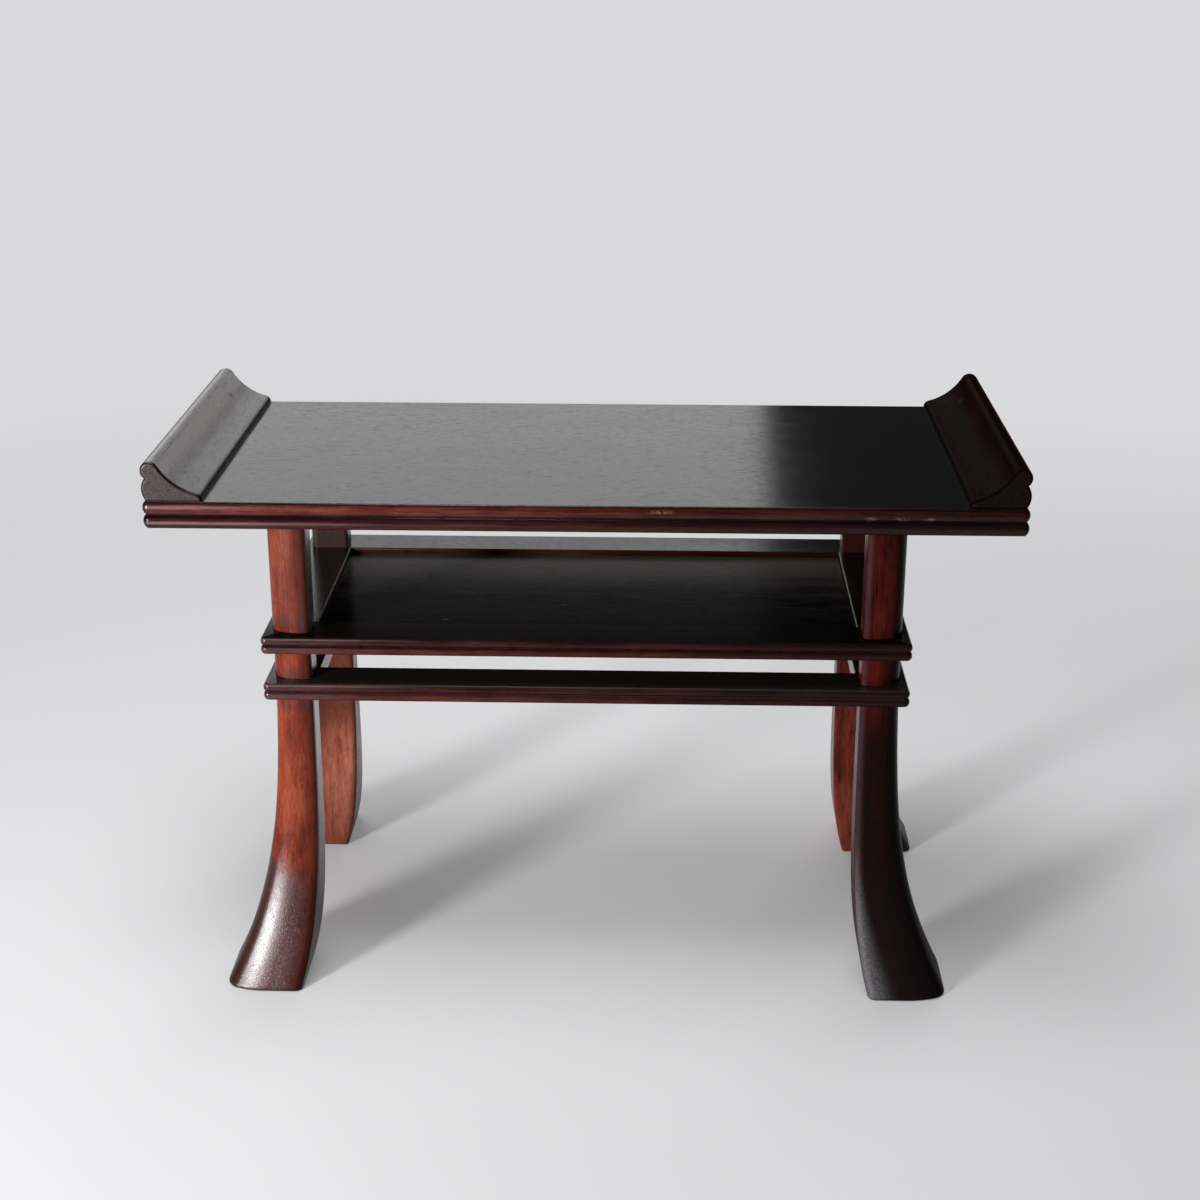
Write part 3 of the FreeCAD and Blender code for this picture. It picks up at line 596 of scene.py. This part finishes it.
def panel_dress(graph, place, colour):
    """Painted shade towards the front, a painted sheen towards the back, and two short pale scratches."""
    x, y, _ = graph.split(place)
    # A painted sheen towards the back
    colour = graph.tint(colour, PANEL_BACK_SHEEN, 0.75, y, 0.0, 0.085)
    # Painted shade towards the front
    colour = graph.tint(colour, PANEL_FRONT_SHADE, 0.8, y, 0.02, -0.085)
    for scratch_x, scratch_y in PANEL_SCRATCHES:
        along = graph.hump(x, scratch_x, SCRATCH_LENGTH)
        scratch = graph.times(along, graph.hump(y, scratch_y, SCRATCH_WIDTH), 0.8)
        colour = graph.mix(scratch, colour, PANEL_SCRATCH)
    return colour


def across_leg(graph, x, z):
    """Zero at a leg's inner face and one at its outer one, all the way down its sweep."""
    run = graph.math("MAXIMUM", graph.plus(graph.times(z, -1 / FOOT_SWEEP_TOP), 1.0), 0.0)
    inner_sweep = graph.times(graph.math("POWER", run, LEG_INNER_POWER), LEG_INNER_SWEEP)
    inner = graph.plus(inner_sweep, LEG_INNER_FACE)
    outer_sweep = graph.times(graph.math("POWER", run, LEG_OUTER_POWER), LEG_OUTER_SWEEP)
    outer = graph.plus(graph.times(run, LEG_OUTER_FLARE), outer_sweep, LEG_OUTER_FACE)
    reach = graph.math("SUBTRACT", graph.size(x), inner)
    return graph.math("DIVIDE", reach, graph.math("SUBTRACT", outer, inner))


def scuffed(graph, place, colour, share):
    """Purple-grey scuffs on a leg, above, between and below the two frames."""
    _, _, z = graph.split(place)
    zones = graph.plus(
        graph.hump(z, SHELF_TOP + 0.009, 0.028),
        graph.hump(z, LOWER_TOP + 0.003, 0.008),
        graph.hump(z, FOOT_SWEEP_TOP - 0.004, 0.012),
    )
    marks = graph.times(zones, graph.span(graph.noise(place, 90.0, 4.0), 0.32, 0.62), share)
    return graph.mix(marks, colour, LEG_SCUFF)


def dark_foot(graph, place):
    """One on the front left foot, below a ragged line and away from the inner face, and zero elsewhere."""
    x, _, z = graph.split(place)
    across = across_leg(graph, x, z)
    ragged = graph.plus(graph.noise(place, 300.0, 4.0, 0.7), -0.5)
    line = graph.plus(z, graph.times(across, -0.018), graph.times(ragged, 0.03))
    beside = graph.span(graph.plus(across, graph.times(ragged, 0.25)), 0.12, 0.42)
    return graph.times(graph.span(line, *DARK_FOOT_FALL), beside)


def front_left_dress(graph, place, colour):
    """Painted shade at both edges, a dark foot, a painted sheen above the shelf, scuffs, and a painted
    reflection on the inner face.
    """
    x, _, z = graph.split(place)
    across = across_leg(graph, x, z)
    # Painted shade towards the inner edge and at the outer edge
    colour = graph.tint(colour, FRONT_LEFT_INNER_SHADE, 0.8, across, 0.5, 0.08)
    colour = graph.tint(colour, FRONT_LEFT_OUTER_SHADE, 0.6, across, 0.9, 1.0)
    # Painted shade low down towards the inner edge
    low_inner = graph.times(graph.span(z, *FRONT_LEFT_FALL), graph.span(across, 0.6, 0.3), 0.7)
    colour = graph.mix(low_inner, colour, FRONT_LEFT_LOW_SHADE)
    speckle = graph.span(graph.noise(place, 700.0, 3.0, 0.7), 0.36, 0.64)
    foot_colour = graph.mix(speckle, DARK_FOOT, DARK_FOOT_SPECKLE)
    # Painted shade towards the foot's outer edge
    foot_colour = graph.tint(foot_colour, DARK_FOOT_OUTER_SHADE, 1.0, across, 0.68, 0.9)
    colour = graph.mix(graph.times(dark_foot(graph, place), 0.88), colour, foot_colour)
    # A greyish painted sheen above the shelf
    colour = graph.tint(colour, FRONT_LEFT_UPPER_SHEEN, 0.26, z, *FRONT_LEFT_RISE)
    colour = scuffed(graph, place, colour, 0.8)
    # A painted reflection of the pale floor on the inner face
    return graph.tint(colour, FRONT_LEFT_INNER_REFLECTION, 0.6, graph.facing()[0], *SIDEWARD)


def rear_left_dress(graph, place, colour):
    """Painted shade above the shelf, under the frames and towards both edges, and darker on the foot."""
    x, _, z = graph.split(place)
    across = across_leg(graph, x, z)
    # Painted shade under the frames
    colour = graph.tint(colour, REAR_LEFT_SHADED, 0.92, z, *REAR_LEFT_RISE)
    # Painted shade towards both edges
    colour = graph.tint(colour, REAR_LEFT_EDGE_SHADE, 0.75, across, 0.45, 0.95)
    colour = graph.tint(colour, REAR_LEFT_EDGE_SHADE, 0.7, across, 0.16, 0.02)
    colour = graph.tint(colour, REAR_LEFT_FOOT, 0.5, z, *REAR_LEFT_FALL)
    # Painted shade above the shelf, under the plank
    return graph.tint(colour, REAR_LEFT_UPPER_SHADE, 0.85, z, *ABOVE_SHELF)


def front_right_dress(graph, place, colour):
    """Red-brown above the frames and purple-black below, with painted shade outside and a painted sheen
    inside and on the foot.
    """
    x, _, z = graph.split(place)
    across = across_leg(graph, x, z)
    normal_y = graph.facing()[1]
    mostly_front = graph.span(normal_y, -0.2, -0.7, 0.5, 1.0)
    front_alone = graph.span(normal_y, -0.15, -0.6)
    lower = graph.times(graph.span(z, *FRONT_RIGHT_FALL), mostly_front, 0.9)
    colour = graph.mix(lower, colour, FRONT_RIGHT_LOWER)
    # Painted shade towards the outer edge
    outer = graph.times(graph.span(across, 0.45, 0.95), mostly_front, 0.9)
    colour = graph.mix(outer, colour, FRONT_RIGHT_OUTER_SHADE)
    # A painted sheen along the inner edge
    inner = graph.times(graph.span(across, 0.22, 0.02), front_alone, 0.65)
    colour = graph.mix(inner, colour, FRONT_RIGHT_INNER_SHEEN)
    foot = graph.span(z, *FRONT_RIGHT_FOOT_FALL)
    colour = graph.mix(graph.times(foot, mostly_front, 0.5), colour, FRONT_RIGHT_FOOT)
    # A speckled painted sheen on the front of the foot, strongest at its inner edge
    speckle = graph.span(graph.noise(place, 900.0, 3.0, 0.7), 0.36, 0.64, 0.45, 1.0)
    sheen_reach = graph.span(z, 0.1, 0.0, 0.2, 0.5)
    sheen = graph.span(graph.math("DIVIDE", across, sheen_reach), 1.0, 0.1)
    grey = graph.times(foot, sheen, sheen, speckle, front_alone, 0.95)
    return graph.mix(grey, colour, FRONT_RIGHT_SHEEN)


def rear_right_dress(graph, place, colour):
    """Painted shade above the shelf, under the frames and towards the outer edge."""
    x, _, z = graph.split(place)
    # Painted shade towards the outer edge
    colour = graph.tint(colour, REAR_RIGHT_OUTER_SHADE, 0.9, across_leg(graph, x, z), 0.62, 0.9)
    # Painted shade under the frames
    colour = graph.tint(colour, REAR_RIGHT_SHADED, 0.45, z, *REAR_RIGHT_RISE)
    # Painted shade above the shelf, under the plank
    return graph.tint(colour, REAR_RIGHT_UPPER_SHADE, 0.75, z, *ABOVE_SHELF)


def waxed_leg(graph, place):
    """The front left leg's wax: full on its inner face, less on its dark foot, none elsewhere."""
    inner_face = graph.span(graph.facing()[0], *SIDEWARD)
    return graph.math("MAXIMUM", inner_face, graph.times(dark_foot(graph, place), 0.7))


def dulled_panel(graph, place):
    """The shelf panel's gloss: full at the back and worn dull towards the front."""
    _, y, _ = graph.split(place)
    return graph.span(y, -0.02, 0.07, 0.3, 1.0)


def dulled_top(graph, _place):
    """A rail's gloss: full on its reeds, and almost gone on top."""
    return graph.span(graph.facing()[2], *UPWARD, 1.0, 0.02)


def leg_woods():
    """A wood for each leg, since no two look alike."""
    legs = (
        ("front_left_leg", FRONT_LEFT_TONES, 1.3, front_left_dress, waxed_leg),
        ("rear_left_leg", REAR_LEFT_TONES, 1.38, rear_left_dress, None),
        ("front_right_leg", FRONT_RIGHT_SHADED_TONES, 1.22, front_right_dress, None),
        ("rear_right_leg", REAR_RIGHT_TONES, 1.38, rear_right_dress, None),
    )
    woods = {}
    for seed, (node, tones, shine, dress, waxed) in enumerate(legs, start=1):
        # The legs' arrises take painted shade rather than pale wear
        finish = Finish(0.3, shine, arris=0.003, rubbed=0.5, wear_and_shade_colour=LEG_ARRIS_SHADE, waxed=waxed)
        woods[node] = rosewood(f"{node}_wood", "z", tones, seed, finish, dress)
    return woods


def top_woods():
    """The plank's wood and those of its scroll ends: painted sheen and dust at the left, painted shade at the
    right.
    """
    planed = Finish(0.15, relief=0.075, dull_pores=0.05, arris=0.0007, rubbed=0.14)
    # The left scroll end: a painted sheen with some dust, and painted highlights
    left_dress = scroll_dress(-1, LEFT_END_GRAIN, upper_share=0.84, upper_colour=LEFT_SHEEN_AND_DUST, highlight_share=1.0)
    # The right scroll end: painted shade on its upper face and end grain
    right_dress = scroll_dress(1, RIGHT_END_GRAIN_SHADED, upper_share=0.92, upper_colour=RIGHT_UPPER_SHADE, highlight_share=0.0)
    dust_and_painted_light = Finish(0.3)
    dull = Finish(0.25, shine=1.02)
    return {
        "top_board": rosewood("plank_rosewood", "x", PLANK_TONES, 11, planed, plank_dress),
        "left_scroll_end": rosewood("left_scroll_rosewood", "y", SCROLL_TONES, 12, dust_and_painted_light, left_dress),
        "right_scroll_end": rosewood("right_scroll_rosewood", "y", SCROLL_TONES, 13, dull, right_dress),
    }


def rail_woods():
    """A wood for each rail of the two frames, with the grain along the rail."""
    sides = (("front", "x"), ("rear", "x"), ("left", "y"), ("right", "y"))
    levels = (("shelf", SHELF_GROOVE, SHELF_RAIL_TOP, 20), ("lower", LOWER_GROOVE, LOWER_RAIL_TOP, 30))
    woods = {}
    for level, groove, top_colour, first_seed in levels:
        for seed, (side, grain) in enumerate(sides, start=first_seed):
            node = f"{level}_{side}_rail"
            dulled = dulled_top if node == "shelf_front_rail" else None
            finish = Finish(0.18, shine=1.34, relief=0.09, dull_pores=0.04, dulled=dulled)
            dress = rail_dress(groove, top_colour)
            woods[node] = rosewood(f"{node}_rosewood", grain, RAIL_TONES, seed, finish, dress)
    return woods


def make_woods():
    """The wood of every node. Wedges and dowels, which are hidden, are bare."""
    woods = {**leg_woods(), **top_woods(), **rail_woods()}
    worn = Finish(0.2, shine=1.06, relief=0.08, dulled=dulled_panel)
    woods["shelf_panel"] = rosewood("panel_rosewood", "x", PANEL_TONES, 40, worn, panel_dress)
    bare = rosewood("bare_rosewood", "z", BARE_TONES, 50, Finish(0.5))
    for node in frame["nodes"]:
        woods.setdefault(node, bare)
    return woods


def is_end_arris(edge):
    """Whether an edge runs round one of a scroll end's two end faces, above the plank."""
    first, second = edge.verts
    along_face = abs(first.co.y - second.co.y) < SAME_END
    at_end = abs(abs(first.co.y) - SCROLL_END) < SAME_END
    above_plank = all(vert.co.z > PLANK_TOP - SAME_HEIGHT for vert in edge.verts)
    on_plank = all(vert.co.z < PLANK_TOP + SAME_HEIGHT for vert in edge.verts)
    return along_face and at_end and above_plank and not on_plank


def round_scroll_end(side, wood):
    """Stands for one scroll end, with the arrises of its two end faces rounded."""
    node = f"{side}_scroll_end"
    mesh = bmesh.new()
    mesh.from_mesh(frame["nodes"][node].data)
    bmesh.ops.remove_doubles(mesh, verts=mesh.verts, dist=SAME_POINT)
    bmesh.ops.dissolve_limit(mesh, angle_limit=math.radians(FLAT_ANGLE), verts=mesh.verts, edges=mesh.edges)
    arrises = [edge for edge in mesh.edges if is_end_arris(edge)]
    bmesh.ops.bevel(mesh, geom=arrises, offset=SCROLL_ROUNDING, segments=4, profile=0.5, affect="EDGES")
    data = bpy.data.meshes.new(f"{side}_scroll_rounded")
    mesh.to_mesh(data)
    mesh.free()
    data.shade_smooth()
    data.set_sharp_from_angle(angle=math.radians(SHARP_ANGLE))
    data.materials.append(wood)
    piece = bpy.data.objects.new(f"{side}_scroll_rounded", data)
    bpy.context.collection.objects.link(piece)
    even = piece.modifiers.new("even_shading", "WEIGHTED_NORMAL")
    even.keep_sharp = True
    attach(piece, "root")
    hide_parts(node)


def dress_nodes(woods):
    """Gives each node its wood."""
    for node, wood in woods.items():
        for slot in frame["nodes"][node].material_slots:
            slot.material = wood


def floor_material():
    """A pale surface that fades evenly into the background. The polish mirrors its front part darker."""
    graph = Graph("pale_floor")
    place = graph.place()
    seen = graph.add("ShaderNodeLightPath", {}).outputs["Is Camera Ray"]
    behind = graph.span(graph.split(place)[1], -0.05, 0.25)
    mirrored = graph.mix(behind, FLOOR_MIRRORED, FLOOR_PALE)
    near_colour = graph.mix(seen, mirrored, FLOOR_PALE)
    near = graph.add("ShaderNodeBsdfPrincipled", {"Base Color": near_colour, "Roughness": 0.6})
    even = graph.add("ShaderNodeEmission", {"Color": BACKGROUND})
    away = graph.add("ShaderNodeVectorMath", {0: place}, operation="LENGTH").outputs["Value"]
    far = graph.times(graph.span(away, 0.4, 1.9, 0.2, 1.0), seen)
    surface = graph.add("ShaderNodeMixShader", {0: far, 1: near.outputs[0], 2: even.outputs[0]})
    graph.add("ShaderNodeOutputMaterial", {"Surface": surface.outputs[0]})
    return graph.material


def make_floor():
    """A wide pale floor under the table."""
    data = bpy.data.meshes.new("floor")
    corners = [(x * FLOOR_REACH, y * FLOOR_REACH, 0.0) for x, y in ((-1, -1), (1, -1), (1, 1), (-1, 1))]
    data.from_pydata(corners, [], [(0, 1, 2, 3)])
    data.materials.append(floor_material())
    floor = bpy.data.objects.new("floor", data)
    bpy.context.collection.objects.link(floor)


def area_light(name, place, aim, size, power, mirrored=True):
    """A soft light of a width and height at a place, turned to its aim, seen in the polish if mirrored."""
    data = bpy.data.lights.new(name, "AREA")
    data.shape = "RECTANGLE"
    data.size, data.size_y = size
    data.energy = power
    light = bpy.data.objects.new(name, data)
    light.location = place
    light.rotation_euler = (Vector(aim) - Vector(place)).to_track_quat("-Z", "Y").to_euler()
    light.visible_camera = False
    light.visible_glossy = mirrored
    bpy.context.collection.objects.link(light)


def make_lights():
    """A tall soft light at the left front, a wide one overhead, and a reflector and a fill behind."""
    area_light("left_front", place=(-1.12, -1.28, 0.5), aim=(-0.1, 0.0, 0.2), size=(0.26, 0.65), power=26.0)
    area_light("overhead", place=(-0.3, -0.2, 2.3), aim=(0.0, 0.0, 0.2), size=(1.5, 1.0), power=28.0)
    area_light("reflector", place=(-0.51, 1.6, 1.0), aim=(-0.2, 0.0, 0.37), size=(1.52, 0.75), power=4.15)
    area_light(
        "back_fill", place=(0.7, 1.9, 1.1), aim=(0.0, 0.0, 0.2), size=(1.4, 1.0), power=9.0, mirrored=False
    )


def make_world():
    """A dim surround, which the camera sees as the pale background."""
    world = bpy.data.worlds.new("studio")
    bpy.context.scene.world = world
    world.use_nodes = True
    nodes = world.node_tree.nodes
    links = world.node_tree.links
    surround = nodes["Background"]
    surround.inputs["Color"].default_value = SURROUND_COLOUR
    surround.inputs["Strength"].default_value = SURROUND_STRENGTH
    pale = nodes.new("ShaderNodeBackground")
    pale.inputs["Color"].default_value = BACKGROUND
    chosen = nodes.new("ShaderNodeMixShader")
    links.new(nodes.new("ShaderNodeLightPath").outputs["Is Camera Ray"], chosen.inputs[0])
    links.new(surround.outputs[0], chosen.inputs[1])
    links.new(pale.outputs[0], chosen.inputs[2])
    links.new(chosen.outputs[0], nodes["World Output"].inputs["Surface"])


def make_camera():
    """The photo's viewpoint."""
    data = bpy.data.cameras.new("camera")
    data.sensor_width = CAMERA_SENSOR
    data.sensor_fit = "HORIZONTAL"
    data.lens = CAMERA_LENS
    camera = bpy.data.objects.new("camera", data)
    camera.location = CAMERA_PLACE
    camera.rotation_euler = (math.radians(CAMERA_TILT), 0.0, math.radians(CAMERA_TURN))
    bpy.context.collection.objects.link(camera)
    bpy.context.scene.camera = camera


make_camera()
make_floor()
make_lights()
make_world()
woods = make_woods()
dress_nodes(woods)
for scroll_side in ("left", "right"):
    round_scroll_end(scroll_side, woods[f"{scroll_side}_scroll_end"])
bpy.context.scene.view_settings.view_transform = "Standard"
